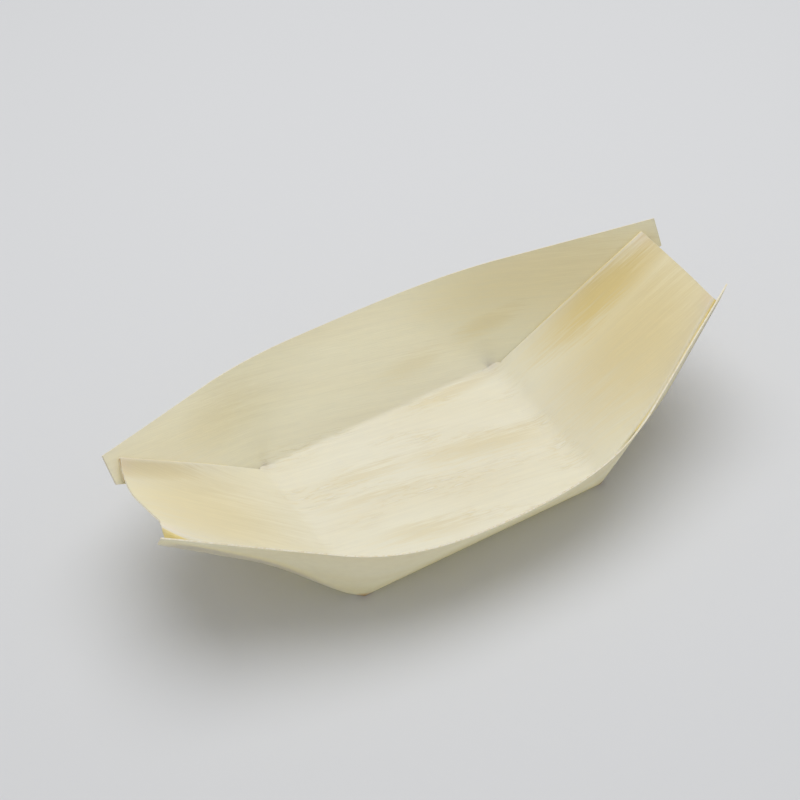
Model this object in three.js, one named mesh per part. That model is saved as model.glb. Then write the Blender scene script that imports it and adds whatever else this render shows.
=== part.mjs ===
// A serving boat folded from one rectangular blank of pine veneer backed with paper.
// Millimetres, +Z up, +X along the boat, +Y to the back wall.
// The origin is under the middle of the floor, on the surface the boat stands on.
import * as THREE from "three";

// The flat blank and the floor marked on it
const blankLength = 199;
const blankWidth = 123;
const floorLength = 78;
const floorWidth = 59;

// The sheet: wood veneer inside, paper outside
const veneerThickness = 0.3;
const paperThickness = 0.12;

// The long walls lean out, then bend in round each floor corner; angles in degrees
const wallLean = 36;
const wallTurn = 34;
const wallBendEnd = 68;

// The ears are the wall ends past the end panels: how far the seam to the end panel lies under the
// rim, how far the ear reaches below the seam, and how much its end is cut back from the blank's
const seamDrop = 2.5;
const earLap = 8;
const earTrim = 1.5;

// The end panels: radius of the bend from the floor, the slit left at each floor corner, and the
// angle at which the sides of the hollow top edge curl up
const endBendRadius = 9;
const cornerSlit = 0.4;
const endCurl = 12;

// The corner flaps: radius of their fold at the floor and at the top, width where they start,
// and how far their lower edge stays inside the ear
const foldRadiusLow = 0.25;
const foldRadiusTop = 0.8;
const flapStartWidth = 0.6;
const flapInset = 0.6;

// The glue between flap and ear: its gap, the play each side of the film, the bare border round it
// and where it starts, measured up the seam
const glueGap = 0.16;
const gluePlay = 0.02;
const glueBorder = 0.8;
const glueStart = 26;

// Steps along curves, and the share of a narrow flap's width that its fold steps take
const wallBendSteps = 20;
const endBendSteps = 8;
const endColumns = 8;
const flapSteps = 10;
const foldSteps = 7;
const foldShare = 0.85;

// Sizes that follow from those above
const wallHeight = (blankWidth - floorWidth) / 2;
const endReach = (blankLength - floorLength) / 2;
const earReach = endReach - earTrim;
const cornerX = floorLength / 2;
const cornerY = floorWidth / 2;
const sheetZ = paperThickness;
const lean = THREE.MathUtils.degToRad(wallLean);
const turn = THREE.MathUtils.degToRad(wallTurn);
const bendEnd = THREE.MathUtils.degToRad(wallBendEnd);
const creaseMitre = Math.cos(lean) / (1 + Math.sin(lean));
const bendStart = Math.atan2(wallHeight, -cornerX);
const tipAngle = Math.atan2(wallHeight, earReach);
const seamAngle = Math.asin((wallHeight - seamDrop) / endReach);
const earAngle = seamAngle - Math.atan2(earLap, endReach);

// All shapes are worked out at the back right corner and mirrored from there. A sheet is a list of
// points, each with the direction of its inner side, and triangles that run anticlockwise seen from
// that side. A panel is a sheet with a layer of veneer on its inner side and one of paper outside.
const corner = new THREE.Vector3(cornerX, cornerY, sheetZ);

// A sheet whose rows all have the same number of points
function gridSheet(rows) {
  const width = rows[0].length;
  const triangles = [];
  for (let row = 0; row < rows.length - 1; row += 1) {
    for (let column = 0; column < width - 1; column += 1) {
      const start = row * width + column;
      triangles.push([start, start + width, start + width + 1]);
      triangles.push([start, start + width + 1, start + 1]);
    }
  }
  return { points: rows.flat(), triangles };
}

// The closed solid between two offsets from a sheet. Its edge faces are split from their lower point,
// so that two panels that meet along a fold split their common face alike.
function layerGeometry(sheet, low, high) {
  const count = sheet.points.length;
  const positions = [];
  for (const offset of [low, high]) {
    for (const { point, inside } of sheet.points) {
      positions.push(...point.clone().addScaledVector(inside, offset));
    }
  }
  const index = [];
  const edges = new Map();
  for (const [a, b, c] of sheet.triangles) {
    index.push(a, c, b);
    index.push(a + count, b + count, c + count);
    edges.set(`${a} ${b}`, [a, b]);
    edges.set(`${b} ${c}`, [b, c]);
    edges.set(`${c} ${a}`, [c, a]);
  }
  for (const [a, b] of edges.values()) {
    if (edges.has(`${b} ${a}`)) continue;
    const rising = sheet.points[a].point.z < sheet.points[b].point.z;
    index.push(a, b, rising ? b + count : a + count);
    index.push(rising ? a : b, b + count, a + count);
  }
  const geometry = new THREE.BufferGeometry();
  geometry.setAttribute("position", new THREE.Float32BufferAttribute(positions, 3));
  geometry.setIndex(index);
  geometry.computeVertexNormals();
  return geometry;
}

const veneer = new THREE.MeshStandardMaterial({ color: 0xdfcb9c, roughness: 0.7, metalness: 0 });
const paper = new THREE.MeshStandardMaterial({ color: 0xeae7db, roughness: 0.9, metalness: 0 });
const glue = new THREE.MeshStandardMaterial({ color: 0xf0e8cf, roughness: 0.4, metalness: 0 });

function layer(name, sheet, low, high, material) {
  const mesh = new THREE.Mesh(layerGeometry(sheet, low, high), material);
  mesh.name = name;
  return mesh;
}

// Both layers of a panel, in a group that mirrors them to their side of the boat
function panel(name, sheet, sideX = 1, sideY = 1) {
  const group = new THREE.Group();
  group.add(layer(`${name}_veneer`, sheet, 0, veneerThickness, veneer));
  group.add(layer(`${name}_paper`, sheet, -paperThickness, 0, paper));
  group.scale.set(sideX, sideY, 1);
  return group;
}

// A wall is a fan of straight lines from the floor corner. This is the line at an angle, taken in the
// flat from the crease carried on outwards, with the inner side along it. The wall is flat in the
// middle, part of a circular cone from bendStart to bendEnd, and flat again out to the ear.
function wallLine(angle) {
  const line = new THREE.Vector3(
    Math.cos(bendStart),
    Math.sin(bendStart) * Math.sin(lean),
    Math.sin(bendStart) * Math.cos(lean),
  );
  const inside = new THREE.Vector3(0, -Math.cos(lean), Math.sin(lean));
  const coneAngle = Math.max(angle, bendEnd);
  const axis = inside.clone().addScaledVector(line, turn / (bendStart - bendEnd)).negate();
  const swept = axis.length() * (bendStart - coneAngle);
  axis.normalize();
  line.applyAxisAngle(axis, swept);
  inside.applyAxisAngle(axis, swept);
  line.applyAxisAngle(inside.clone().negate(), coneAngle - angle);
  return { line, inside };
}

function wallPoint(angle, distance) {
  const { line, inside } = wallLine(angle);
  return { point: corner.clone().addScaledVector(line, distance), inside };
}

// The seam, where the planes of ear and end panel would meet, gives the end panel its slope and taper
const seam = wallLine(seamAngle);
const slope = Math.atan2(seam.line.z, seam.line.x);
const taper = Math.atan2(-seam.line.y, Math.hypot(seam.line.x, seam.line.z));
const endInside = new THREE.Vector3(-Math.sin(slope), 0, Math.cos(slope));
const endAcross = new THREE.Vector3(
  Math.cos(slope) * Math.sin(taper),
  Math.cos(taper),
  Math.sin(slope) * Math.sin(taper),
);

// The bend from floor to end panel takes up a little of the blank's length
const bendSetback = endBendRadius * Math.tan(slope / 2);
const bendX = cornerX - bendSetback;
const endSlant = endReach + 2 * bendSetback - endBendRadius * slope;

// The flap's fold starts inside the seam, far enough for flap, glue and ear to fit behind it
const foldTurn = Math.PI - endInside.angleTo(seam.inside);
const foldBase = (2 * veneerThickness + glueGap) / Math.sin(foldTurn);
const foldGain = (foldRadiusTop - foldRadiusLow) / endReach;
const insetLow = foldBase + foldRadiusLow * Math.tan(foldTurn / 2);
const insetGain = foldGain * Math.tan(foldTurn / 2);

function foldRadius(along) {
  return foldRadiusLow + foldGain * along;
}

// Distance along the seam at which the fold leaves the end panel at a slant height
function seamAt(slant) {
  const slantPerSeam = Math.cos(taper) - insetGain * Math.sin(taper);
  return (slant + insetLow * Math.sin(taper)) / slantPerSeam;
}
const seamLow = seamAt(bendSetback);
const seamTop = seamAt(endSlant);

// How far up a flap, from 0 to 1, and the curl that the end panel's side has reached there
function flapShare(along) {
  return (along - seamLow) / (seamTop - seamLow);
}
function curlAt(along) {
  return THREE.MathUtils.degToRad(endCurl) * flapShare(along);
}

// Length of the sheet in the fold, from the end panel to the flat of the flap
function foldLength(along) {
  return foldRadius(along) * (foldTurn + curlAt(along));
}

// The point of a flap at a distance along the seam and a distance round the fold
function foldPoint(along, round) {
  const radius = foldRadius(along);
  const angle = Math.min(round / radius - curlAt(along), foldTurn);
  const cosine = Math.cos(angle);
  const sine = Math.sin(angle);
  const inside = endInside.clone().multiplyScalar(cosine).addScaledVector(endAcross, sine);
  const onward = endAcross.clone().multiplyScalar(cosine).addScaledVector(endInside, -sine);
  const point = corner
    .clone()
    .addScaledVector(seam.line, along)
    .addScaledVector(endAcross, -insetLow - insetGain * along)
    .addScaledVector(endInside, -radius)
    .addScaledVector(inside, radius)
    .addScaledVector(onward, Math.max(round - foldLength(along), 0));
  return { point, inside };
}

// Width of a flap, measured round the fold: narrow at the floor corner, the ear's lap at the top
const foldLap = foldRadius(seamTop) * Math.tan(foldTurn / 2) - foldBase * Math.cos(foldTurn);
const topLap = seamTop * Math.tan(seamAngle - earAngle) - flapInset;
const flapTopWidth = foldLength(seamTop) + topLap - foldLap;
function flapWidth(along) {
  return flapStartWidth + (flapTopWidth - flapStartWidth) * flapShare(along);
}

// The top edges of flap and glue run on square from the end panel's top edge
function squared(along, round) {
  return along - round * Math.tan(taper) * flapShare(along);
}

// Floor: flat from one end bend to the other; both layers are mitred at the wall creases
function floorSheet() {
  return gridSheet(
    [-bendX, bendX].map((x) =>
      [-1, 1].map((side) => ({
        point: new THREE.Vector3(x, side * cornerY, sheetZ),
        inside: new THREE.Vector3(0, -side * creaseMitre, 1),
      })),
    ),
  );
}

// Long wall: a flat triangle on the crease and a fan round each floor corner. Rim and ends are
// straight in the flat, so the rim rises to the ears only because of the bend.
function wallSheet() {
  const half = [{ point: corner, inside: new THREE.Vector3(0, -creaseMitre, 1) }];
  for (let step = 1; step <= wallBendSteps; step += 1) {
    const angle = bendStart + ((bendEnd - bendStart) * step) / wallBendSteps;
    half.push(wallPoint(angle, wallHeight / Math.sin(angle)));
  }
  half.push(wallPoint(tipAngle, earReach / Math.cos(tipAngle)));
  half.push(wallPoint(earAngle, earReach / Math.cos(earAngle)));
  const mirror = new THREE.Vector3(-1, 1, 1);
  const otherHalf = half.map(({ point, inside }) => ({
    point: point.clone().multiply(mirror),
    inside: inside.clone().multiply(mirror),
  }));
  const middle = wallPoint(bendStart, wallHeight / Math.sin(bendStart));
  const other = half.length;
  const top = 2 * half.length;
  const triangles = [
    [other, 0, top],
    [0, 1, top],
    [other, top, other + 1],
  ];
  for (let step = 1; step < half.length - 1; step += 1) {
    triangles.push([0, step + 1, step]);
    triangles.push([other, other + step, other + step + 1]);
  }
  return { points: [...half, ...otherHalf, middle], triangles };
}

// One row across an end panel, hollow between its two sides, from the point at its back side
function endRow({ point, inside }, curl) {
  const row = [];
  for (let column = 0; column <= endColumns; column += 1) {
    const across = (2 * column) / endColumns - 1;
    const hollow = (point.y * Math.tan(curl) * (1 - across * across)) / 2;
    const tilt = new THREE.Vector3(0, -across * Math.tan(curl), 0);
    row.push({
      point: new THREE.Vector3(point.x, point.y * across, point.z).addScaledVector(endInside, -hollow),
      inside: inside.clone().add(tilt).normalize(),
    });
  }
  return row;
}

// End panel: a round bend up from the floor, then a panel that grows hollow towards its top edge
function endSheet() {
  const rows = [];
  const narrowing = cornerY - cornerSlit - foldPoint(seamLow, 0).point.y;
  for (let step = 0; step < endBendSteps; step += 1) {
    const angle = (slope * step) / endBendSteps;
    const point = new THREE.Vector3(
      bendX + endBendRadius * Math.sin(angle),
      cornerY - cornerSlit - (narrowing * step) / endBendSteps,
      sheetZ + endBendRadius * (1 - Math.cos(angle)),
    );
    rows.push(endRow({ point, inside: new THREE.Vector3(-Math.sin(angle), 0, Math.cos(angle)) }, 0));
  }
  const mirror = new THREE.Vector3(1, -1, 1);
  for (const along of flapStations()) {
    const side = foldPoint(along, 0);
    const row = endRow({ point: side.point, inside: endInside }, curlAt(along));
    row[0] = { point: side.point.clone().multiply(mirror), inside: side.inside.clone().multiply(mirror) };
    row[endColumns] = side;
    rows.push(row);
  }
  return gridSheet(rows);
}

// Distances along the seam of the points that an end panel shares with its flaps
function flapStations() {
  const stations = [];
  for (let step = 0; step <= flapSteps; step += 1) {
    stations.push(seamLow + ((seamTop - seamLow) * step) / flapSteps);
  }
  return stations;
}

// Corner flap: a side of the end panel, folded sharply down to lie against the ear
function flapSheet() {
  return gridSheet(
    flapStations().map((along) => {
      const width = flapWidth(along);
      const folded = Math.min(foldLength(along), foldShare * width);
      const row = [];
      for (let step = 0; step <= foldSteps; step += 1) {
        const round = (folded * step) / foldSteps;
        row.push(foldPoint(squared(along, round), round));
      }
      row.push(foldPoint(squared(along, width), width));
      return row;
    }),
  );
}

// Glue film: flat in the gap between flap and ear, narrowing towards the floor corner
function glueSheet() {
  return gridSheet(
    [glueStart, seamTop - glueBorder].map((along) => {
      const inner = foldLength(along) + glueBorder;
      const outer = flapWidth(along) - glueBorder;
      return [foldPoint(squared(along, inner), inner), foldPoint(squared(along, outer), outer)];
    }),
  );
}

const boat = new THREE.Group();
boat.name = "food_boat";
boat.add(panel("floor", floorSheet()));
boat.add(panel("back_wall", wallSheet()));
boat.add(panel("front_wall", wallSheet(), 1, -1));
boat.add(panel("right_end", endSheet()));
boat.add(panel("left_end", endSheet(), -1, 1));

const corners = { back_right: [1, 1], back_left: [-1, 1], front_right: [1, -1], front_left: [-1, -1] };
for (const [name, [sideX, sideY]] of Object.entries(corners)) {
  const flap = panel(`${name}_flap`, flapSheet(), sideX, sideY);
  const filmLow = veneerThickness + gluePlay;
  const filmHigh = veneerThickness + glueGap - gluePlay;
  flap.add(layer(`${name}_glue`, glueSheet(), filmLow, filmHigh, glue));
  boat.add(flap);
}

export default boat;
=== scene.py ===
# A serving boat folded from one blank of pine veneer with a paper backing, standing on a pale table.
# Metres, in the same frame as the solids: +X along the boat, +Y to the back wall, +Z up.
import math

import bmesh
import bpy
from mathutils import Matrix, Quaternion, Vector


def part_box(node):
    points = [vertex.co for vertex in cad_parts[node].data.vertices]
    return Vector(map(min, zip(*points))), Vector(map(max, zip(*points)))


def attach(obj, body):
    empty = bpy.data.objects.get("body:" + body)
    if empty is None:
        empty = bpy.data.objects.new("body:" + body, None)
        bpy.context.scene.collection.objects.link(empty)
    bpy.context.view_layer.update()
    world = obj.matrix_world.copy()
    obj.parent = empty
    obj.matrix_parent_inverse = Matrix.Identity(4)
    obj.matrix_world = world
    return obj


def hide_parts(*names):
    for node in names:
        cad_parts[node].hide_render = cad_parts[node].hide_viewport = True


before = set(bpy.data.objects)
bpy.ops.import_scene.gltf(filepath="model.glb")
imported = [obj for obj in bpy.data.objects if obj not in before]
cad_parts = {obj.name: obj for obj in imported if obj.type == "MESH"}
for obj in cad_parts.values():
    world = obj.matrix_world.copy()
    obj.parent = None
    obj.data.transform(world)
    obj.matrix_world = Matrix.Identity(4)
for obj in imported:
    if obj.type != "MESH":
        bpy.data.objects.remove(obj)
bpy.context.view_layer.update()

# The blank, flat
# One rectangle of pine veneer laminated to paper. The die cuts a slit and a wedge of waste at each
# corner, which leaves four ears on the long walls and a flap on each side of both end panels.
mm = 0.001
tiny = 0.001 * mm
near_enough = 0.01 * mm
blank_length = 199 * mm
blank_width = 123 * mm
ear_lap = 8 * mm
ear_trim = 1.5 * mm
flap_start_width = 0.6 * mm
flap_inset = 0.6 * mm

# The slit opens slowly from the floor corner, and a small heel on the ear's foot covers it
corner_slit = 0.15 * mm
slit_curve = 6
ear_heel = 1.7 * mm
heel_height = 0.85 * mm

# The floor's corner and the layers' thickness, as the solids have them
floor_low, floor_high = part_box("floor_veneer")
paper_thickness = floor_low.z
veneer_thickness = floor_high.z - floor_low.z
wall_points = [point.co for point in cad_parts["back_wall_veneer"].data.vertices]
wall_feet = [point.x for point in wall_points if point.z < floor_low.z + near_enough]
corner = Vector((max(wall_feet), floor_high.y, 0))
wall_height = blank_width / 2 - corner.y
end_reach = blank_length / 2 - corner.x
ear_reach = end_reach - ear_trim

# How the walls fold: they lean out from upright, then bend round a cone at each floor corner
wall_lean = math.radians(36)
wall_turn = math.radians(34)
cone_start = math.atan2(wall_height, -corner.x)
cone_end = math.radians(68)
wall_inside = Vector((0, -math.cos(wall_lean), math.sin(wall_lean)))
cone_line = Vector((
    math.cos(cone_start),
    math.sin(cone_start) * math.sin(wall_lean),
    math.sin(cone_start) * math.cos(wall_lean),
))
cone_axis = -(wall_inside + cone_line * wall_turn / (cone_start - cone_end))
cone_bend = Quaternion(cone_axis, cone_axis.length * (cone_start - cone_end))
ear_inside = cone_bend @ wall_inside


def ear_direction(angle):
    """A direction in an ear's plane, by its angle on the flat blank."""
    return Quaternion(-ear_inside, cone_end - angle) @ cone_bend @ cone_line


# How the ends fold: a round bend from the floor up to the seam with the ears
bend_radius = 9 * mm
seam_drop = 2.5 * mm
seam_angle = math.asin((wall_height - seam_drop) / end_reach)
ear_angle = seam_angle - math.atan2(ear_lap, end_reach)
seam_line = ear_direction(seam_angle)
end_slope = math.atan2(seam_line.z, seam_line.x)
seam_taper = math.atan2(-seam_line.y, math.hypot(seam_line.x, seam_line.z))
end_inside = Vector((-math.sin(end_slope), 0, math.cos(end_slope)))
bend_setback = bend_radius * math.tan(end_slope / 2)
bend_start = corner.x - bend_setback
bend_length = bend_radius * end_slope

# How the flaps fold: sharply down, far enough inside the seam to leave room for glue and ear
glue_gap = 0.16 * mm
fold_radius_low = 0.25 * mm
fold_radius_top = 0.45 * mm
end_curl = math.radians(12)
fold_turn = math.pi - end_inside.angle(ear_inside)
fold_inset = (2 * veneer_thickness + glue_gap) / math.sin(fold_turn)
fold_low = bend_start + bend_length
fold_rise = blank_length / 2 - fold_low


def fold_side(reach, radius, curl):
    """Half width of an end panel where its flap folds, at a reach from the floor corner line."""
    inset = fold_inset + radius * (math.tan(fold_turn / 2) + math.sin(curl))
    return corner.y - reach * math.tan(seam_taper) - inset / math.cos(seam_taper)


side_low = fold_side(bend_setback, fold_radius_low, 0)
side_top = fold_side(bend_setback + fold_rise, fold_radius_top, end_curl)
fold_taper = math.atan2(side_low - side_top, fold_rise)
fold_gain = (fold_radius_top - fold_radius_low) / fold_rise
top_arc = fold_radius_top * (fold_turn + end_curl)
top_lap = end_reach * math.tan(seam_angle - ear_angle) - flap_inset
top_fold_lap = fold_radius_top * math.tan(fold_turn / 2) - fold_inset * math.cos(fold_turn)
flap_top_width = top_arc + top_lap - top_fold_lap

# Lines of the flat mesh: close together at the creases and the flap folds, about even elsewhere
mesh_step = 1 * mm
crease_lines = [offset * mm for offset in (0, 0.15, 0.3, 0.4, 0.5, 0.65, 0.85, 1.1, 1.5)]
crease_zone = 2 * mm
arc_share = 0.85
arc_steps = 8


def even(start, end, step=mesh_step):
    """Evenly spaced values from start to end, about a step apart."""
    count = max(1, round(abs(end - start) / step))
    return [start + (end - start) * index / count for index in range(count + 1)]


def mirrored(values):
    """The values with their negatives before them, from low to high."""
    return sorted({-value for value in values} | set(values))


def add_grid(blank, rows):
    """Adds a grid of faces between rows of flat points, facing up."""
    grid = [[blank.verts.new((x, y, 0)) for x, y in row] for row in rows]
    for row, onward in zip(grid, grid[1:]):
        for a, b, c, d in zip(row, row[1:], onward[1:], onward):
            face = blank.faces.new((a, b, c, d))
            face.normal_update()
            if face.normal.z < 0:
                face.normal_flip()


def end_side(x):
    """Half width of the flat end panel, from the slit at the floor to the fold of its flaps."""
    if x > fold_low:
        return side_low - (x - fold_low) * math.tan(fold_taper)
    risen = (x - bend_start) / bend_length
    return corner.y - corner_slit - (corner.y - corner_slit - side_low) * risen ** slit_curve


def flap_lines(x):
    """Distances of a flap's mesh lines from its fold: first round the fold, then across the flat."""
    share = (x - fold_low) / fold_rise
    width = flap_start_width + (flap_top_width - flap_start_width) * share
    radius = fold_radius_low + fold_gain * (x - fold_low)
    arc = min(radius * (fold_turn + end_curl * share), arc_share * width)
    round_lines = [arc * step / arc_steps for step in range(arc_steps)]
    return round_lines + even(arc, width, (width - arc) / arc_steps)


def flat_blank():
    """The cut blank as a flat mesh, with its own plane kept as a UV map in metres."""
    blank = bmesh.new()

    # Floor, between the bends of the two ends
    columns = mirrored(even(0, bend_start) + even(bend_start, corner.x)[1:])
    floor_columns = [x for x in columns if abs(x) <= bend_start]
    floor_lines = mirrored([corner.y - line for line in crease_lines] + even(0, corner.y - crease_zone))
    add_grid(blank, [[(x, y) for y in floor_lines] for x in floor_columns])

    # Both walls with their ears, and both ends with their flaps
    ear_foot = ear_reach * math.tan(ear_angle)
    wall_rows = crease_lines + even(crease_zone, ear_foot) + even(ear_foot, wall_height)[1:]
    end_rows = even(bend_start, fold_low) + even(fold_low, blank_length / 2)[1:]
    slit_y = corner.y - corner_slit
    end_lines = [y / slit_y for y in floor_lines if abs(y) < slit_y + near_enough]
    for side in (-1, 1):
        rows = []
        for height in wall_rows:
            heel = ear_heel * min(1, height / heel_height) * max(0, 1 - height / ear_foot)
            reach = corner.x + min(height / math.tan(ear_angle) + heel, ear_reach)
            rows.append([(x / corner.x * reach, side * (corner.y + height)) for x in columns])
        add_grid(blank, rows)
        add_grid(blank, [[(side * x, line * end_side(x)) for line in end_lines] for x in end_rows])
        flap_rows = [x for x in end_rows if x > fold_low - near_enough]
        for flap_side in (-1, 1):
            rows = []
            for x in flap_rows:
                reach = [end_side(x) + line / math.cos(fold_taper) for line in flap_lines(x)]
                rows.append([(side * x, flap_side * y) for y in reach])
            add_grid(blank, rows)

    # The panels join along their shared lines
    bmesh.ops.remove_doubles(blank, verts=blank.verts, dist=tiny)
    plane = blank.loops.layers.uv.new("blank")
    for face in blank.faces:
        for loop in face.loops:
            loop[plane].uv = loop.vert.co.xy
    mesh = bpy.data.meshes.new("flat_blank")
    blank.to_mesh(mesh)
    blank.free()
    return mesh


# The folding
# The blank is folded by hand or on a former: both walls up at sharp creases, both ends up on a
# round bend, the flaps down behind the ears. Then handling presses some of its corners out of true.

# Each wall's crease is soft to both sides, but sharp at the floor corners
crease_softness = 1.1 * mm
crease_fade = 5 * mm

# Both ends are hollow between their flaps, the left one more so and mostly towards the back
right_hollow = 1.0
left_hollow = 1.45
left_lean = 1.05
right_roundness = 2
left_roundness = 3

# One flap stands open at its end. A high power keeps the opening near there, and with it the fold
# moves outwards and down by two shares of it.
flap_opening = 6 * mm
opening_rise = 32
opening_reach = 0.23
opening_sag = 0.2

# Ears turned in or out about their rims, from a little way off the floor corner
ear_tuck = math.radians(8.5)
ear_flare = math.radians(8.8)
tuck_start = 4 * mm
tuck_full = 34 * mm
tuck_fade = 10 * mm

# The sheet is never quite even
wave_size = 26 * mm
wave_height = 0.35 * mm
wave_rise = 14 * mm

fold_sizes = {
    "Floor corner": corner,
    "Crease softness": crease_softness,
    "Wall tilt": math.pi / 2 - wall_lean,
    "Cone start": cone_start,
    "Cone end": cone_end,
    "Cone axis": cone_axis,
    "Bend start": bend_start,
    "Bend radius": bend_radius,
    "End slope": end_slope,
    "Fold start": fold_low,
    "Fold rise": fold_rise,
    "Fold side": side_low,
    "Fold taper": fold_taper,
    "Fold turn": fold_turn,
    "Fold radius": fold_radius_low,
    "Fold gain": fold_gain,
    "End curl": end_curl,
    "Right hollow": right_hollow,
    "Left hollow": left_hollow,
    "Left lean": left_lean,
    "Flap width": flap_top_width,
    "Flap opening": flap_opening,
    "Ear tuck": ear_tuck,
    "Ear flare": ear_flare,
    "Ear inside": ear_inside,
    "Ear sideways": Vector((0, ear_inside.y, ear_inside.z)),
    "Ear outward": ear_direction(0),
    "Ear upward": ear_direction(math.pi / 2),
    "Wall height": wall_height,
    "Wave size": wave_size,
    "Wave height": wave_height,
    "Sheet height": paper_thickness,
    "Lift": 0.0,
}


def add(tree, kind, inputs=(), **settings):
    """Adds a node with its settings; an input is a value, a socket, or a node for its first output."""
    made = tree.nodes.new(kind)
    for name, value in settings.items():
        setattr(made, name, value)
    for key, value in inputs.items() if isinstance(inputs, dict) else enumerate(inputs):
        if isinstance(value, bpy.types.Node):
            value = value.outputs[0]
        if isinstance(value, bpy.types.NodeSocket):
            tree.links.new(value, made.inputs[key])
        else:
            made.inputs[key].default_value = value
    return made


def folding_rule():
    """Geometry nodes that take each point of the flat blank to its place on the folded boat."""
    fold = bpy.data.node_groups.new("folding_rule", "GeometryNodeTree")
    fold.interface.new_socket("Blank", in_out="INPUT", socket_type="NodeSocketGeometry")
    for name, value in fold_sizes.items():
        kind = "NodeSocketVector" if isinstance(value, Vector) else "NodeSocketFloat"
        fold.interface.new_socket(name, in_out="INPUT", socket_type=kind)
    fold.interface.new_socket("Finish", in_out="INPUT", socket_type="NodeSocketMaterial")
    fold.interface.new_socket("Boat", in_out="OUTPUT", socket_type="NodeSocketGeometry")
    size = add(fold, "NodeGroupInput").outputs
    math_node, vector_node, rotate = "ShaderNodeMath", "ShaderNodeVectorMath", "ShaderNodeVectorRotate"

    # Every corner is folded alike, so the rule works on distances from the middle
    flat = add(fold, "GeometryNodeInputPosition")
    quarter = add(fold, vector_node, [flat], operation="ABSOLUTE")
    place = add(fold, "ShaderNodeSeparateXYZ", [quarter])
    past = add(fold, vector_node, [quarter, size["Floor corner"]], operation="SUBTRACT")
    past = add(fold, "ShaderNodeSeparateXYZ", [past])

    # Wall: a soft crease shares the sheet out between floor and wall
    soft = [past.outputs[0], 0.0, -crease_fade, tiny, size["Crease softness"]]
    soft = add(fold, "ShaderNodeMapRange", soft)
    twice = add(fold, math_node, [soft, 2.0], operation="MULTIPLY")
    entered = add(fold, math_node, [past.outputs[1], soft], operation="ADD")
    entered = add(fold, "ShaderNodeClamp", [entered, 0.0, twice])
    curved = add(fold, math_node, [entered, entered], operation="MULTIPLY")
    curved = add(fold, math_node, [curved, twice], operation="DIVIDE")
    curved = add(fold, math_node, [curved, 0.5], operation="MULTIPLY")
    beyond = add(fold, math_node, [past.outputs[1], soft], operation="SUBTRACT")
    beyond = add(fold, math_node, [beyond, 0.0], operation="MAXIMUM")
    height = add(fold, math_node, [curved, beyond], operation="ADD")
    slack = add(fold, math_node, [past.outputs[1], height], operation="SUBTRACT")

    # Wall: flat in the middle, then round a cone whose tip is the floor corner, then flat to the ear
    angle = add(fold, math_node, [height, past.outputs[0]], operation="ARCTAN2")
    angle = add(fold, "ShaderNodeClamp", [angle, size["Cone end"], size["Cone start"]])
    swept = add(fold, math_node, [size["Cone start"], angle], operation="SUBTRACT")
    steep = add(fold, vector_node, [size["Cone axis"]], operation="LENGTH")
    wound = add(fold, math_node, [swept, steep.outputs["Value"]], operation="MULTIPLY")
    wall = add(fold, "ShaderNodeCombineXYZ", [past.outputs[0], height, 0.0])
    wall = add(fold, rotate, {"Vector": wall, "Angle": swept}, rotation_type="Z_AXIS")
    wall = add(fold, rotate, {"Vector": wall, "Angle": size["Wall tilt"]}, rotation_type="X_AXIS")
    wall = add(fold, rotate, {"Vector": wall, "Axis": size["Cone axis"], "Angle": wound})
    slack = add(fold, "ShaderNodeCombineXYZ", [0.0, slack, 0.0])
    wall = add(fold, vector_node, [wall, slack], operation="ADD")
    wall = add(fold, vector_node, [wall, size["Floor corner"]], operation="ADD")

    # Flap: how far a point lies past the fold, whose radius and curl grow towards the top
    rise = add(fold, math_node, [place.outputs[0], size["Fold start"]], operation="SUBTRACT")
    share = add(fold, math_node, [rise, size["Fold rise"]], operation="DIVIDE", use_clamp=True)
    curl = add(fold, math_node, [share, size["End curl"]], operation="MULTIPLY")
    leaning = add(fold, math_node, [size["Fold taper"]], operation="TANGENT")
    leaning = add(fold, math_node, [leaning, rise], operation="MULTIPLY")
    side = add(fold, math_node, [size["Fold side"], leaning], operation="SUBTRACT")
    folded_off = add(fold, math_node, [place.outputs[1], side], operation="SUBTRACT")
    along = add(fold, math_node, [size["Fold taper"]], operation="SINE")
    across = add(fold, math_node, [size["Fold taper"]], operation="COSINE")
    folded_off = add(fold, math_node, [folded_off, across], operation="MULTIPLY")
    folded_off = add(fold, math_node, [folded_off, 0.0], operation="MAXIMUM")
    begun = add(fold, math_node, [rise, -tiny], operation="GREATER_THAN")
    folded_off = add(fold, math_node, [folded_off, begun], operation="MULTIPLY")
    radius = add(fold, math_node, [rise, 0.0], operation="MAXIMUM")
    radius = [radius, size["Fold gain"], size["Fold radius"]]
    radius = add(fold, math_node, radius, operation="MULTIPLY_ADD")
    full_turn = add(fold, math_node, [size["Fold turn"], curl], operation="ADD")
    round_fold = add(fold, math_node, [folded_off, radius], operation="DIVIDE")
    round_fold = add(fold, math_node, [round_fold, full_turn], operation="MINIMUM")
    arc = add(fold, math_node, [radius, round_fold], operation="MULTIPLY")
    past_fold = add(fold, math_node, [folded_off, arc], operation="SUBTRACT")
    curl_back = add(fold, math_node, [curl, -1.0], operation="MULTIPLY")
    bent = add(fold, math_node, [round_fold, curl], operation="SUBTRACT")
    foot = add(fold, "ShaderNodeCombineXYZ", [0.0, 0.0, radius])
    foot = add(fold, rotate, {"Vector": foot, "Angle": curl_back}, rotation_type="Y_AXIS")
    flap = add(fold, "ShaderNodeCombineXYZ", [past_fold, 0.0, radius])
    flap = add(fold, rotate, {"Vector": flap, "Angle": bent}, rotation_type="Y_AXIS")
    flap = add(fold, vector_node, [flap, foot], operation="SUBTRACT")
    flap = add(fold, "ShaderNodeSeparateXYZ", [flap])
    drawn = add(fold, math_node, [flap.outputs[0], folded_off], operation="SUBTRACT")

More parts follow.
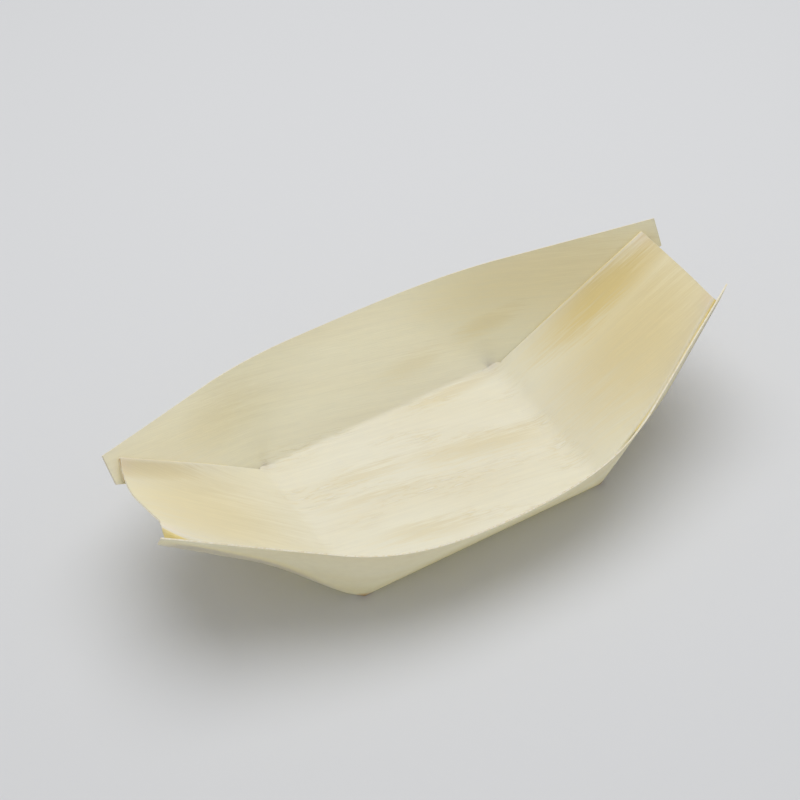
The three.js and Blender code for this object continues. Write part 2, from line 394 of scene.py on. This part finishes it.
    # Front left flap: not quite shut at its end, where its fold lies further in
    reach = add(fold, math_node, [place.outputs[1], side], operation="DIVIDE", use_clamp=True)
    flat_place = add(fold, "ShaderNodeSeparateXYZ", [flat])
    is_left = add(fold, math_node, [flat_place.outputs[0], 0.0], operation="LESS_THAN")
    is_front = add(fold, math_node, [flat_place.outputs[1], 0.0], operation="LESS_THAN")
    opened = add(fold, math_node, [folded_off, size["Flap width"]], operation="DIVIDE", use_clamp=True)
    opened = add(fold, math_node, [1.0, opened], operation="SUBTRACT")
    higher = add(fold, math_node, [share, opening_rise], operation="POWER")
    for factor in (higher, reach, reach, is_front, is_left, size["Flap opening"]):
        opened = add(fold, math_node, [opened, factor], operation="MULTIPLY")

    # End: hollow between the flaps, the left end mostly towards the back
    roundness = [is_left, 0.0, 1.0, right_roundness, left_roundness]
    roundness = add(fold, "ShaderNodeMapRange", roundness)
    reach = add(fold, math_node, [reach, roundness], operation="POWER")
    uneven = add(fold, math_node, [flat_place.outputs[1], side], operation="DIVIDE")
    uneven = add(fold, math_node, [uneven, size["Left lean"], 1.0], operation="MULTIPLY_ADD")
    left_depth = add(fold, math_node, [size["Left hollow"], uneven], operation="MULTIPLY")
    depth = [is_left, 0.0, 1.0, size["Right hollow"], left_depth]
    depth = add(fold, "ShaderNodeMapRange", depth)
    steepness = add(fold, math_node, [curl], operation="TANGENT")
    hollow = add(fold, math_node, [1.0, reach], operation="SUBTRACT")
    for factor in (steepness, side, 0.5, depth):
        hollow = add(fold, math_node, [hollow, factor], operation="MULTIPLY")

    # End: up from the floor on a round bend, then straight
    arrived = add(fold, math_node, [place.outputs[0], size["Bend start"]], operation="SUBTRACT")
    raised = add(fold, math_node, [arrived, size["Bend radius"]], operation="DIVIDE")
    raised = add(fold, "ShaderNodeClamp", [raised, 0.0, size["End slope"]])
    bend_used = add(fold, math_node, [raised, size["Bend radius"]], operation="MULTIPLY")
    straight = add(fold, math_node, [arrived, bend_used], operation="SUBTRACT")
    straight = add(fold, math_node, [drawn, along, straight], operation="MULTIPLY_ADD")
    straight = add(fold, math_node, [opened, opening_reach, straight], operation="MULTIPLY_ADD")
    sideways = add(fold, math_node, [drawn, across, place.outputs[1]], operation="MULTIPLY_ADD")
    sideways = add(fold, math_node, [sideways, opened], operation="SUBTRACT")
    lifted = add(fold, math_node, [flap.outputs[2], hollow], operation="SUBTRACT")
    lifted = add(fold, math_node, [opened, -opening_sag, lifted], operation="MULTIPLY_ADD")
    lifted = add(fold, math_node, [lifted, size["Bend radius"]], operation="SUBTRACT")
    end = add(fold, "ShaderNodeCombineXYZ", [straight, sideways, lifted])
    end = add(fold, rotate, {"Vector": end, "Axis": Vector((0, -1, 0)), "Angle": raised})
    hub = add(fold, "ShaderNodeCombineXYZ", [size["Bend start"], 0.0, size["Bend radius"]])
    end = add(fold, vector_node, [end, hub], operation="ADD")

    # Each point takes its own panel's place
    in_end = add(fold, math_node, [arrived, tiny], operation="GREATER_THAN")
    off_wall = add(fold, math_node, [past.outputs[1], -tiny], operation="LESS_THAN")
    in_end = add(fold, math_node, [in_end, off_wall], operation="MULTIPLY")
    boat = {"Switch": in_end, "False": wall, "True": end}
    boat = add(fold, "GeometryNodeSwitch", boat, input_type="VECTOR")

    # Ears: the left ones pressed in about their rims, the front right one out, each with its flap
    from_corner = add(fold, vector_node, [boat, size["Floor corner"]], operation="SUBTRACT")
    below = add(fold, vector_node, [from_corner, size["Ear upward"]], operation="DOT_PRODUCT")
    below = add(fold, math_node, [size["Wall height"], below.outputs["Value"]], operation="SUBTRACT")
    outward = add(fold, vector_node, [from_corner, size["Ear outward"]], operation="DOT_PRODUCT")
    outward = [outward.outputs["Value"], tuck_start, tuck_full, 0.0, 1.0]
    outward = add(fold, "ShaderNodeMapRange", outward, interpolation_type="SMOOTHSTEP")
    inward = add(fold, vector_node, [from_corner, size["Ear inside"]], operation="DOT_PRODUCT")
    inward = [inward.outputs["Value"], 0.0, tuck_fade, 1.0, 0.0]
    inward = add(fold, "ShaderNodeMapRange", inward, interpolation_type="SMOOTHSTEP")
    loose = add(fold, math_node, [below, outward], operation="MULTIPLY")
    loose = add(fold, math_node, [loose, inward], operation="MULTIPLY")
    flared = add(fold, math_node, [is_front, is_left], operation="GREATER_THAN")
    for pressed, turn, towards, way in (
        (is_left, "Ear tuck", "Ear inside", "ADD"),
        (flared, "Ear flare", "Ear sideways", "SUBTRACT"),
    ):
        moved = add(fold, math_node, [pressed, size[turn]], operation="MULTIPLY")
        moved = add(fold, math_node, [moved, loose], operation="MULTIPLY")
        moved = add(fold, vector_node, {0: size[towards], "Scale": moved}, operation="SCALE")
        boat = add(fold, vector_node, [boat, moved], operation=way)

    # Each corner goes to its own side, with slow waves in the sheet that die out towards the floor
    own_side = add(fold, vector_node, [flat, Vector((0, 0, 1))], operation="ADD")
    own_side = add(fold, vector_node, [own_side], operation="SIGN")
    boat = add(fold, vector_node, [boat, own_side], operation="MULTIPLY")
    waves = add(fold, math_node, [1.0, size["Wave size"]], operation="DIVIDE")
    waves = add(fold, vector_node, {0: boat, "Scale": waves}, operation="SCALE")
    waves = add(fold, "ShaderNodeTexNoise", {"Vector": waves, "Scale": 1.0, "Detail": 1.0})
    waves = add(fold, vector_node, [waves.outputs[1], Vector((0.5, 0.5, 0.5))], operation="SUBTRACT")
    rising = add(fold, "ShaderNodeSeparateXYZ", [boat])
    rising = [rising.outputs[2], 0.0, wave_rise, 0.0, size["Wave height"]]
    rising = add(fold, "ShaderNodeMapRange", rising)
    waves = add(fold, vector_node, {0: waves, "Scale": rising}, operation="SCALE")
    boat = add(fold, vector_node, [boat, waves], operation="ADD")

    # The sheet stands on its backing, and a layer above it is lifted off along its own facing
    stand = add(fold, "ShaderNodeCombineXYZ", [0.0, 0.0, size["Sheet height"]])
    boat = add(fold, vector_node, [boat, stand], operation="ADD")
    sheet = add(fold, "GeometryNodeSetPosition", {"Geometry": size["Blank"], "Position": boat})
    facing = add(fold, "GeometryNodeInputNormal")
    lift = add(fold, vector_node, {0: facing, "Scale": size["Lift"]}, operation="SCALE")
    sheet = add(fold, "GeometryNodeSetPosition", {"Geometry": sheet, "Offset": lift})
    sheet = add(fold, "GeometryNodeRealizeInstances", [sheet])
    sheet = add(fold, "GeometryNodeSetMaterial", {"Geometry": sheet, "Material": size["Finish"]})
    add(fold, "NodeGroupOutput", [sheet])
    return fold


fold_rule = folding_rule()
sharp_angle = math.radians(50)


def plain_mesh(piece):
    """The piece with its modifiers made part of its mesh."""
    graph = bpy.context.evaluated_depsgraph_get()
    piece.data = bpy.data.meshes.new_from_object(piece.evaluated_get(graph))
    piece.modifiers.clear()


def folded_layer(name, flat, lift, thickness, finishes):
    """A flat mesh folded by the rule and given a layer's thickness, upwards where that is positive.

    Its finishes are those of its upper side, its lower side and its cut edge.
    """
    layer = bpy.data.objects.new(name, flat)
    bpy.context.scene.collection.objects.link(layer)
    folding = layer.modifiers.new("folding", "NODES")
    folding.node_group = fold_rule
    values = dict(fold_sizes, Lift=lift, Finish=finishes[0])
    for socket in fold_rule.interface.items_tree:
        if socket.in_out == "INPUT" and socket.name in values:
            folding[socket.identifier] = values[socket.name]
    plain_mesh(layer)
    for finish in finishes[1:]:
        layer.data.materials.append(finish)
    thick = layer.modifiers.new("thickness", "SOLIDIFY")
    thick.thickness = abs(thickness)
    thick.offset = math.copysign(1, thickness)
    thick.material_offset = 1
    thick.material_offset_rim = 2
    plain_mesh(layer)
    layer.data.shade_smooth()
    layer.data.set_sharp_from_angle(angle=sharp_angle)
    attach(layer, "root")
    return layer


# Veneer
# Pine sliced to under a third of a millimetre: pale, matt, thin enough to let light through, with soft
# tan bands of denser wood nearly along the boat and a few fibres torn up by the knife. Shade on the
# ends and highlights on the fold crests and fibres are painted into its colour.


def linear(code):
    """An sRGB hex colour as linear red, green, blue and alpha."""
    channels = [int(code[start:start + 2], 16) / 255 for start in (1, 3, 5)]
    return [c / 12.92 if c <= 0.04045 else ((c + 0.055) / 1.055) ** 2.4 for c in channels] + [1]


def bare_material(name):
    """A new material with an empty node tree."""
    material = bpy.data.materials.new(name)
    material.use_nodes = True
    material.node_tree.nodes.clear()
    return material


grain_turn = math.radians(-10)
light_through = 0.37
wood_pale = "#FEFDF5"
wood_warm = "#FDFBF0"
# Tan of denser wood, written a little darker so that it also paints the shade on the ends
wood_tan_and_shade = "#EBDBA6"
# Pale of the torn fibres, used for painted highlights on them and on the fold crests
wood_fleck_highlight = "#FFFEF8"
wood_depth = "#FFF49A"
wood_tone = (0.95, 1.0)
wood_roughness = (0.65, 0.8)
matt_specular = 0.3
fibre_share = 0.6
fibre_relief = 0.035 * mm
drift_shift = 3 * mm
band_shift = 9 * mm
band_slant = 0.2
cloud_strength = 0.2
# Painted highlight along the crest of each flap's fold: its width, where it starts, its strength
fold_highlight = (0.15 * mm, 0.7 * mm)
fold_highlight_start = 2 * mm
fold_highlight_strength = 0.35
torn_fade = 6 * mm
tear_height = 2.0
# Torn fibres, first a tan rim of painted shadow, then a pale fleck of painted highlight: low and high
# end of their noise, strength, colour
fleck_shadow_and_highlight = [
    (0.5, 0.56, 0.25, wood_tan_and_shade),
    (0.58, 0.64, 0.8, wood_fleck_highlight),
]
# Tan patches: denser wood, which on both ends is also painted shade, darker and warmer there; middle
# along and across the blank, half length and half width in millimetres, turn in degrees, strength
tan_and_shade_patches = [
    (20, 1.5, 36, 8, -15, 0.42),
    (-14, 10, 26, 3.5, -13, 0.3),
    (-16, 1, 26, 3, -10, 0.3),
    (-12, -18, 20, 6, -18, 0.34),
    (22, 27, 26, 4, -3, 0.34),
    (80, 14, 44, 14, -10, 1.0),
    (78, -4, 52, 34, 0, 0.7),
    (-88, 17, 34, 8, 9, 0.6),
    (-76, 2, 46, 36, 0, 0.5),
    (-56, 50, 32, 14, 0, 0.25),
    (16, 40, 18, 5, 0, 0.22),
    (44, 44, 22, 6, 10, 0.4),
    (62, 54, 56, 22, 0, 0.4),
]


def sliced_pine():
    """Raw sliced pine: matt and pale, with ragged tan bands, fine streaks and torn fibres, and painted
    shade and highlights.

    About a third of the light goes into the sheet, so its colours are written paler than they look, and
    what comes out on the other side is yellower for its way through the wood.
    """
    material = bare_material("sliced_pine")
    wood = material.node_tree
    math_node, mapping, noise = "ShaderNodeMath", "ShaderNodeMapping", "ShaderNodeTexNoise"
    blend, ramp = "ShaderNodeMix", "ShaderNodeMapRange"

    # Noises drawn out along the grain; a fibre is drawn some five times as coarse as it is, to show
    plane = add(wood, "ShaderNodeUVMap", uv_map="blank")
    turned = add(wood, mapping, {"Vector": plane, "Rotation": (0, 0, -grain_turn)})
    grain = {}
    for name, length, width, detail in (
        ("drift", 60 * mm, 22 * mm, 1.0),
        ("cloud", 70 * mm, 16 * mm, 1.0),
        ("streak", 26 * mm, 1.3 * mm, 2.0),
        ("fibre", 6 * mm, 0.35 * mm, 1.0),
        ("tear", 7 * mm, 0.9 * mm, 1.0),
        ("torn", 34 * mm, 10 * mm, 1.0),
    ):
        spot = add(wood, mapping, {"Vector": turned, "Scale": (1 / length, 1 / width, 1)})
        grain[name] = add(wood, noise, {"Vector": spot, "Scale": 1.0, "Detail": detail})

    # Tan patches of denser wood, and painted shade on the ends, their edges shifted along and across by
    # the streaks
    drift = add(wood, ramp, [grain["drift"], 0.0, 1.0, -drift_shift, drift_shift])
    strands = [grain["fibre"], fibre_share, grain["streak"]]
    strands = add(wood, math_node, strands, operation="MULTIPLY_ADD")
    ragged = add(wood, ramp, [strands, 0.4, 1.2, -band_shift, band_shift])
    shift = add(wood, math_node, [ragged, band_slant, drift], operation="MULTIPLY_ADD")
    shift = add(wood, "ShaderNodeCombineXYZ", [ragged, shift, 0.0])
    shifted = add(wood, "ShaderNodeVectorMath", [plane, shift], operation="ADD")
    tan_and_shade = add(wood, ramp, [grain["cloud"], 0.45, 0.8, 0.0, cloud_strength])
    for x, y, half_length, half_width, turn, strength in tan_and_shade_patches:
        patch = add(wood, mapping, {
            "Vector": shifted,
            "Location": (x * mm, y * mm, 0),
            "Rotation": (0, 0, math.radians(turn)),
            "Scale": (half_length * mm, half_width * mm, 1),
        }, vector_type="TEXTURE")
        patch = add(wood, "ShaderNodeTexGradient", [patch], gradient_type="SPHERICAL")
        patch = [patch.outputs[1], 0.0, 0.9, 0.0, strength]
        patch = add(wood, ramp, patch, interpolation_type="SMOOTHSTEP")
        tan_and_shade = add(wood, math_node, [tan_and_shade, patch], operation="MAXIMUM")
    warm = add(wood, ramp, [grain["drift"], 0.3, 0.7, 0.0, 1.0])
    colour = add(wood, blend, {0: warm, 6: linear(wood_pale), 7: linear(wood_warm)}, data_type="RGBA")
    colour = add(wood, blend, {0: tan_and_shade, 6: colour.outputs[2], 7: linear(wood_tan_and_shade)}, data_type="RGBA")

    # Torn fibres, in places where the sheet is flat on the floor: pale flecks of painted highlight, each
    # with a tan rim of painted shadow
    quarter = add(wood, "ShaderNodeVectorMath", [plane], operation="ABSOLUTE")
    quarter = add(wood, "ShaderNodeSeparateXYZ", [quarter])
    torn = add(wood, ramp, [grain["torn"], 0.46, 0.6, 0.0, 1.0])
    for axis, end in ((0, corner.x), (1, corner.y)):
        inside = add(wood, ramp, [quarter.outputs[axis], end, end + torn_fade, 1.0, 0.0])
        torn = add(wood, math_node, [torn, inside], operation="MULTIPLY")
    for low, high, strength, code in fleck_shadow_and_highlight:
        tear = add(wood, ramp, [grain["tear"], low, high, 0.0, 1.0])
        tear = add(wood, math_node, [tear, torn], operation="MULTIPLY")
        share = add(wood, math_node, [tear, strength], operation="MULTIPLY")
        colour = {0: share, 6: colour.outputs[2], 7: linear(code)}
        colour = add(wood, blend, colour, data_type="RGBA")

    # Painted highlight: a pale line along the crest of each flap's fold, where it catches the light
    rise = add(wood, math_node, [quarter.outputs[0], fold_low], operation="SUBTRACT")
    off_fold = [rise, math.tan(fold_taper), quarter.outputs[1]]
    off_fold = add(wood, math_node, off_fold, operation="MULTIPLY_ADD")
    off_fold = add(wood, math_node, [off_fold, side_low], operation="SUBTRACT")
    off_fold = add(wood, math_node, [off_fold], operation="ABSOLUTE")
    crest_highlight = add(wood, ramp, [off_fold, *fold_highlight, fold_highlight_strength, 0.0])
    begun = add(wood, ramp, [rise, -fold_highlight_start, fold_highlight_start, 0.0, 1.0])
    crest_highlight = add(wood, math_node, [crest_highlight, begun], operation="MULTIPLY")
    colour = {0: crest_highlight, 6: colour.outputs[2], 7: linear(wood_fleck_highlight)}
    colour = add(wood, blend, colour, data_type="RGBA")

    # Streaks and fibres shade the wood by a few hundredths and stand up from it
    tone = add(wood, ramp, [strands, 0.5, 1.1, *wood_tone])
    colour = {0: 1.0, 6: colour.outputs[2], 7: tone}
    colour = add(wood, blend, colour, data_type="RGBA", blend_type="MULTIPLY")
    relief = add(wood, math_node, [tear, tear_height, grain["fibre"]], operation="MULTIPLY_ADD")
    relief = add(wood, "ShaderNodeBump", {"Height": relief, "Distance": fibre_relief, "Strength": 1.0})
    rough = add(wood, ramp, [grain["streak"], 0.3, 0.7, *wood_roughness])
    surface = add(wood, "ShaderNodeBsdfPrincipled", {
        "Base Color": colour.outputs[2],
        "Roughness": rough,
        "Specular IOR Level": matt_specular,
        "Normal": relief,
    })
    deep = {0: 1.0, 6: colour.outputs[2], 7: linear(wood_depth)}
    deep = add(wood, blend, deep, data_type="RGBA", blend_type="MULTIPLY")
    glow = add(wood, "ShaderNodeBsdfTranslucent", {"Color": deep.outputs[2], "Normal": relief})
    sheet = add(wood, "ShaderNodeMixShader", [light_through, surface, glow])
    add(wood, "ShaderNodeOutputMaterial", [sheet])
    return material


bond_clear = "#FFFFFC"
bond_cloudy = "#FDFDF6"
bond_cloud_size = 6 * mm


def bonded_side():
    """Veneer or paper wet through with glue: it passes the light on, a little unevenly."""
    material = bare_material("bonded_side")
    bond = material.node_tree
    plane = add(bond, "ShaderNodeUVMap", uv_map="blank")
    cloud = {"Vector": plane, "Scale": 1 / bond_cloud_size, "Detail": 2.0}
    cloud = add(bond, "ShaderNodeTexNoise", cloud)
    colour = {0: cloud, 6: linear(bond_clear), 7: linear(bond_cloudy)}
    colour = add(bond, "ShaderNodeMix", colour, data_type="RGBA")
    glow = add(bond, "ShaderNodeBsdfTranslucent", {"Color": colour.outputs[2]})
    add(bond, "ShaderNodeOutputMaterial", [glow])
    return material


edge_pale = "#EAE4D2"
edge_fibre = "#E0D4B2"
edge_roughness = 0.85
fibre_end_size = 0.8 * mm
fibre_end_relief = 0.02 * mm


def cut_edge():
    """The die's cut through wood and paper: dull, with broken fibre ends drawn coarser than they are."""
    material = bare_material("cut_pine_edge")
    edge = material.node_tree
    place = add(edge, "ShaderNodeTexCoord")
    ends = {"Vector": place.outputs["Object"], "Scale": 1 / fibre_end_size, "Detail": 2.0}
    ends = add(edge, "ShaderNodeTexNoise", ends)
    share = add(edge, "ShaderNodeMapRange", [ends, 0.4, 0.7, 0.0, 1.0])
    colour = {0: share, 6: linear(edge_pale), 7: linear(edge_fibre)}
    colour = add(edge, "ShaderNodeMix", colour, data_type="RGBA")
    relief = add(edge, "ShaderNodeBump", {"Height": ends, "Distance": fibre_end_relief, "Strength": 1.0})
    surface = add(edge, "ShaderNodeBsdfPrincipled", {
        "Base Color": colour.outputs[2],
        "Roughness": edge_roughness,
        "Specular IOR Level": matt_specular,
        "Normal": relief,
    })
    add(edge, "ShaderNodeOutputMaterial", [surface])
    return material


# Veneer and paper lie a hair apart, so that no two faces are in the same place
layer_gap = 0.01 * mm
panels = ["floor", "back_wall", "front_wall", "right_end", "left_end"]
corners = ["back_right", "back_left", "front_right", "front_left"]
panels += [f"{name}_flap" for name in corners]
bonded = bonded_side()
die_cut = cut_edge()
veneer = folded_layer(
    "veneer_sheet", flat_blank(), layer_gap / 2, veneer_thickness - layer_gap / 2,
    (sliced_pine(), bonded, die_cut),
)
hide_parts(*[f"{name}_veneer" for name in panels])

# Paper backing
# Thin uncoated white paper glued all over the outer side of the veneer, cut with it in one stroke.
# It keeps the veneer from splitting along its grain where it is folded.
paper_pale = "#FAF8F1"
paper_warm = "#F7F2E5"
# Painted contact shade at each floor corner, then its size below
paper_corner_shade = "#CDA96E"
paper_roughness = 0.9
corner_shade_size = 3 * mm
band_length = 70 * mm
band_width = 12 * mm
paper_cloud_size = 2.5 * mm
paper_tone = (0.965, 1.0)
felt_size = 0.5 * mm
felt_relief = 0.015 * mm
# Strength of the glue stains and painted glow
stain_glow_strength = 0.8
lap_reach = 40 * mm
lap_angle = (seam_angle + ear_angle) / 2
lap_middle = corner + lap_reach * Vector((math.cos(lap_angle), math.sin(lap_angle), 0))
flap_end = Vector((blank_length / 2, side_top + flap_top_width / 2, 0))
# Glue stains and painted glow: the first warms the strip where a flap lies behind its ear, partly glue
# and partly painted yellow light through the sheets; the second paints the orange glow at a flap's end
# in the seam. Middle on the blank, turn, half length, half width, colour
stains_and_glow = [
    (lap_middle, lap_angle, 30 * mm, 6 * mm, "#F7F1DD"),
    (flap_end, 0, 5 * mm, 9 * mm, "#F2D488"),
]


def backing():
    """Thin uncoated paper: matt, cloudy, with the wood's bands just showing through, and painted shade
    and glow.

    Its felt of fibres is drawn several times as coarse as it is, to show.
    """
    material = bare_material("backing_paper")
    sheet = material.node_tree
    mapping, noise, ramp = "ShaderNodeMapping", "ShaderNodeTexNoise", "ShaderNodeMapRange"
    plane = add(sheet, "ShaderNodeUVMap", uv_map="blank")

    # Bands along the grain of the wood behind it, and clouds of thicker and thinner paper
    spot = add(sheet, mapping, {"Vector": plane, "Rotation": (0, 0, -grain_turn)})
    spot = add(sheet, mapping, {"Vector": spot, "Scale": (1 / band_length, 1 / band_width, 1)})
    band = add(sheet, noise, {"Vector": spot, "Scale": 1.0, "Detail": 2.0})
    band = add(sheet, ramp, [band, 0.4, 0.7, 0.0, 1.0])
    colour = {0: band, 6: linear(paper_pale), 7: linear(paper_warm)}
    colour = add(sheet, "ShaderNodeMix", colour, data_type="RGBA")
    cloud = add(sheet, noise, {"Vector": plane, "Scale": 1 / paper_cloud_size, "Detail": 3.0})
    cloud = add(sheet, ramp, [cloud, 0.3, 0.7, *paper_tone])
    colour = {0: 1.0, 6: colour.outputs[2], 7: cloud}
    colour = add(sheet, "ShaderNodeMix", colour, data_type="RGBA", blend_type="MULTIPLY")

    # Painted contact shade: a brown spot where each floor corner stands on the slit's end
    quarter = add(sheet, "ShaderNodeVectorMath", [plane], operation="ABSOLUTE")
    corner_shade = {"Vector": quarter, "Location": corner, "Scale": (corner_shade_size, corner_shade_size, 1)}
    corner_shade = add(sheet, mapping, corner_shade, vector_type="TEXTURE")
    corner_shade = add(sheet, "ShaderNodeTexGradient", [corner_shade], gradient_type="SPHERICAL")
    colour = {0: corner_shade.outputs[1], 6: colour.outputs[2], 7: linear(paper_corner_shade)}
    colour = add(sheet, "ShaderNodeMix", colour, data_type="RGBA")

    # Warmer where a flap lies behind its ear, partly glue stain and partly painted yellow light through
    # the sheets, and a painted orange glow at the flap's end
    for middle, turn, half_length, half_width, code in stains_and_glow:
        stain_and_glow = {
            "Vector": quarter,
            "Location": middle,
            "Rotation": (0, 0, turn),
            "Scale": (half_length, half_width, 1),
        }
        stain_and_glow = add(sheet, mapping, stain_and_glow, vector_type="TEXTURE")
        stain_and_glow = add(sheet, "ShaderNodeTexGradient", [stain_and_glow], gradient_type="SPHERICAL")
        stain_and_glow = add(sheet, ramp, [stain_and_glow.outputs[1], 0.0, 0.4, 0.0, stain_glow_strength])
        colour = {0: stain_and_glow, 6: colour.outputs[2], 7: linear(code)}
        colour = add(sheet, "ShaderNodeMix", colour, data_type="RGBA")

    # The felt stands up a little, and the thin sheet lets light through
    felt = add(sheet, noise, {"Vector": plane, "Scale": 1 / felt_size, "Detail": 2.0})
    felt = add(sheet, "ShaderNodeBump", {"Height": felt, "Distance": felt_relief, "Strength": 1.0})
    surface = add(sheet, "ShaderNodeBsdfPrincipled", {
        "Base Color": colour.outputs[2],
        "Roughness": paper_roughness,
        "Specular IOR Level": matt_specular,
        "Normal": felt,
    })
    glow = add(sheet, "ShaderNodeBsdfTranslucent", {"Color": colour.outputs[2], "Normal": felt})
    mixed = add(sheet, "ShaderNodeMixShader", [light_through, surface, glow])
    add(sheet, "ShaderNodeOutputMaterial", [mixed])
    return material


paper = folded_layer(
    "paper_sheet", flat_blank(), -layer_gap / 2, layer_gap / 2 - paper_thickness,
    (bonded, backing(), die_cut),
)
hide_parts(*[f"{name}_paper" for name in panels])

# Glue films
# A line of adhesive pressed flat between each flap and its ear, dried to a clear amber. It is laid on
# the flap before folding, so it folds with it, and shows only as a thin line down in the seam. Its
# colours are written bright and yellow, so that this line also paints the glow of light down in the
# seam.
glue_border = 0.8 * mm
glue_top = 0.1 * mm
glue_squeeze = 0.42
glue_play = 0.02 * mm
glue_start = 18 * mm
film_lines = 12
# Glue colours, bright so that they also paint the glow of light in the seam
glue_clear_glow = "#FBEDB4"
glue_amber_glow = "#F2DE98"
glue_roughness = 0.4
blister_size = 1.2 * mm
blister_relief = 0.03 * mm


def flat_film(along, across):
    """A film on one flap of the flat blank, squeezed part of the way round the fold."""
    film = bmesh.new()
    rows = []
    for x in even(fold_low + glue_start - bend_setback, blank_length / 2 - glue_top):
        lines = flap_lines(x)
        near = lines[arc_steps] * glue_squeeze
        far = lines[-1] - glue_border
        spread = even(near, far, (far - near) / film_lines)
        reach = [end_side(x) + line / math.cos(fold_taper) for line in spread]
        rows.append([(along * x, across * y) for y in reach])
    add_grid(film, rows)
    mesh = bpy.data.meshes.new("flat_film")
    film.to_mesh(mesh)
    film.free()
    return mesh


def dried_glue_glow():
    """Dried adhesive: satin, amber, with small blisters where the sheets were pressed together, its
    bright colour also painting the glow in the seam.
    """
    material = bare_material("dried_glue_glow")
    glue = material.node_tree
    place = add(glue, "ShaderNodeTexCoord")
    blisters = {"Vector": place.outputs["Object"], "Scale": 1 / blister_size, "Detail": 2.0}
    blisters = add(glue, "ShaderNodeTexNoise", blisters)
    colour = {0: blisters, 6: linear(glue_clear_glow), 7: linear(glue_amber_glow)}
    colour = add(glue, "ShaderNodeMix", colour, data_type="RGBA")
    relief = {"Height": blisters, "Distance": blister_relief, "Strength": 1.0}
    relief = add(glue, "ShaderNodeBump", relief)
    surface = add(glue, "ShaderNodeBsdfPrincipled", {
        "Base Color": colour.outputs[2],
        "Roughness": glue_roughness,
        "Normal": relief,
    })
    add(glue, "ShaderNodeOutputMaterial", [surface])
    return material


dry = dried_glue_glow()
for name in corners:
    along = 1 if name.endswith("right") else -1
    across = 1 if name.startswith("back") else -1
    film = folded_layer(
        f"{name}_glue_film", flat_film(along, across),
        veneer_thickness + glue_play, glue_gap - 2 * glue_play, (dry, dry, dry),
    )
    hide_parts(f"{name}_glue")

# Table
# A board painted a pale matt grey, which carries the boat and its shadow. It reaches past the picture
# on all sides and lies a hair below the boat, so that the two never touch.
board_grey = "#D0D1D3"
board_roughness = (0.75, 0.85)
board_cloud_size = 30 * mm
board_reach = 4000 * mm
board_drop = 0.02 * mm


def painted_board():
    """A smooth matt board: one pale grey, with a faint unevenness in its sheen."""
    material = bare_material("matt_board")
    board = material.node_tree
    place = add(board, "ShaderNodeTexCoord")
    cloud = {"Vector": place.outputs["Object"], "Scale": 1 / board_cloud_size}
    cloud = add(board, "ShaderNodeTexNoise", cloud)
    rough = add(board, "ShaderNodeMapRange", [cloud, 0.0, 1.0, *board_roughness])
    surface = add(board, "ShaderNodeBsdfPrincipled", {
        "Base Color": linear(board_grey),
        "Roughness": rough,
        "Specular IOR Level": matt_specular,
    })
    add(board, "ShaderNodeOutputMaterial", [surface])
    return material


table_mesh = bpy.data.meshes.new("table")
top = bmesh.new()
board_place = Matrix.Translation((0, 0, -board_drop))
bmesh.ops.create_grid(top, x_segments=1, y_segments=1, size=board_reach, matrix=board_place)
top.to_mesh(table_mesh)
top.free()
table_mesh.materials.append(painted_board())
table = bpy.data.objects.new("table", table_mesh)
bpy.context.scene.collection.objects.link(table)

# Light
# A white tent lights the boat from all round, and a round softbox hangs above its back right, so that
# its shadow falls soft and towards the near left.
tent_strength = 0.52
softbox_width = 0.8
softbox_power = 4.1
softbox_place = (0.1, 0.13, 0.75)
world = bpy.data.worlds.new("tent")
world.use_nodes = True
tent = world.node_tree.nodes["Background"].inputs
tent["Color"].default_value = (1, 1, 1, 1)
tent["Strength"].default_value = tent_strength
bpy.context.scene.world = world
lamp = bpy.data.lights.new("softbox", "AREA")
lamp.shape = "DISK"
lamp.size = softbox_width
lamp.energy = softbox_power
softbox = bpy.data.objects.new("softbox", lamp)
softbox.location = softbox_place
softbox.rotation_euler = (-softbox.location).to_track_quat("-Z", "Y").to_euler()
bpy.context.scene.collection.objects.link(softbox)

# Camera
# It stands where the photograph was taken from: above the near side and a little to the left, with a
# long lens, and turned slightly about its own line of sight.
view_azimuth = math.radians(-27.43)
view_elevation = math.radians(43.51)
view_roll = math.radians(-4.26)
view_distance = 638.31 * mm
view_shift = (-8.92 * mm, 21.81 * mm)
sensor_width = 36
picture_pixels = 800
focal_pixels = 2209.65
back = Vector((
    math.sin(view_azimuth) * math.cos(view_elevation),
    -math.cos(view_azimuth) * math.cos(view_elevation),
    math.sin(view_elevation),
))
right = Quaternion(back, view_roll) @ Vector((0, 0, 1)).cross(back).normalized()
up = back.cross(right)
camera = bpy.data.objects.new("camera", bpy.data.cameras.new("camera"))
camera.data.sensor_width = sensor_width
camera.data.lens = focal_pixels * sensor_width / picture_pixels
camera_place = back * view_distance + right * view_shift[0] + up * view_shift[1]
camera_place.z += paper_thickness
camera_turn = Matrix((right, up, back)).transposed()
camera.matrix_world = Matrix.Translation(camera_place) @ camera_turn.to_4x4()
bpy.context.scene.collection.objects.link(camera)
bpy.context.scene.camera = camera

bpy.context.scene.view_settings.view_transform = "Standard"
